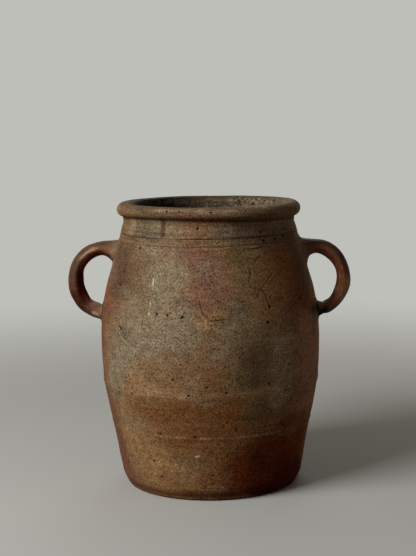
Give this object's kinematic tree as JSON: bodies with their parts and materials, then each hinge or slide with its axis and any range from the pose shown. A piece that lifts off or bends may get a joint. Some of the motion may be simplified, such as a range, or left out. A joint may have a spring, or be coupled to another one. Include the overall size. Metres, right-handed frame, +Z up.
{
  "type": "two-handled storage jar",
  "caption": "Thrown stoneware jar with a rolled rim, scratched shoulder lines, an open mouth and a pulled loop handle on each side.",
  "frame": {"origin": "middle of the foot, on the surface the jar stands on", "axes": "+Z up along the jar's axis, X through the two handles, front of the jar towards -Y"},
  "size_m": [0.2842, 0.2194, 0.2833],
  "materials": {
    "stoneware": "fired stoneware with a thin flashed skin, satin, speckled and slightly rough"
  },
  "bodies": {
    "root": {"pot_body": "stoneware", "left_handle": "stoneware", "right_handle": "stoneware"}
  },
  "joints": []
}
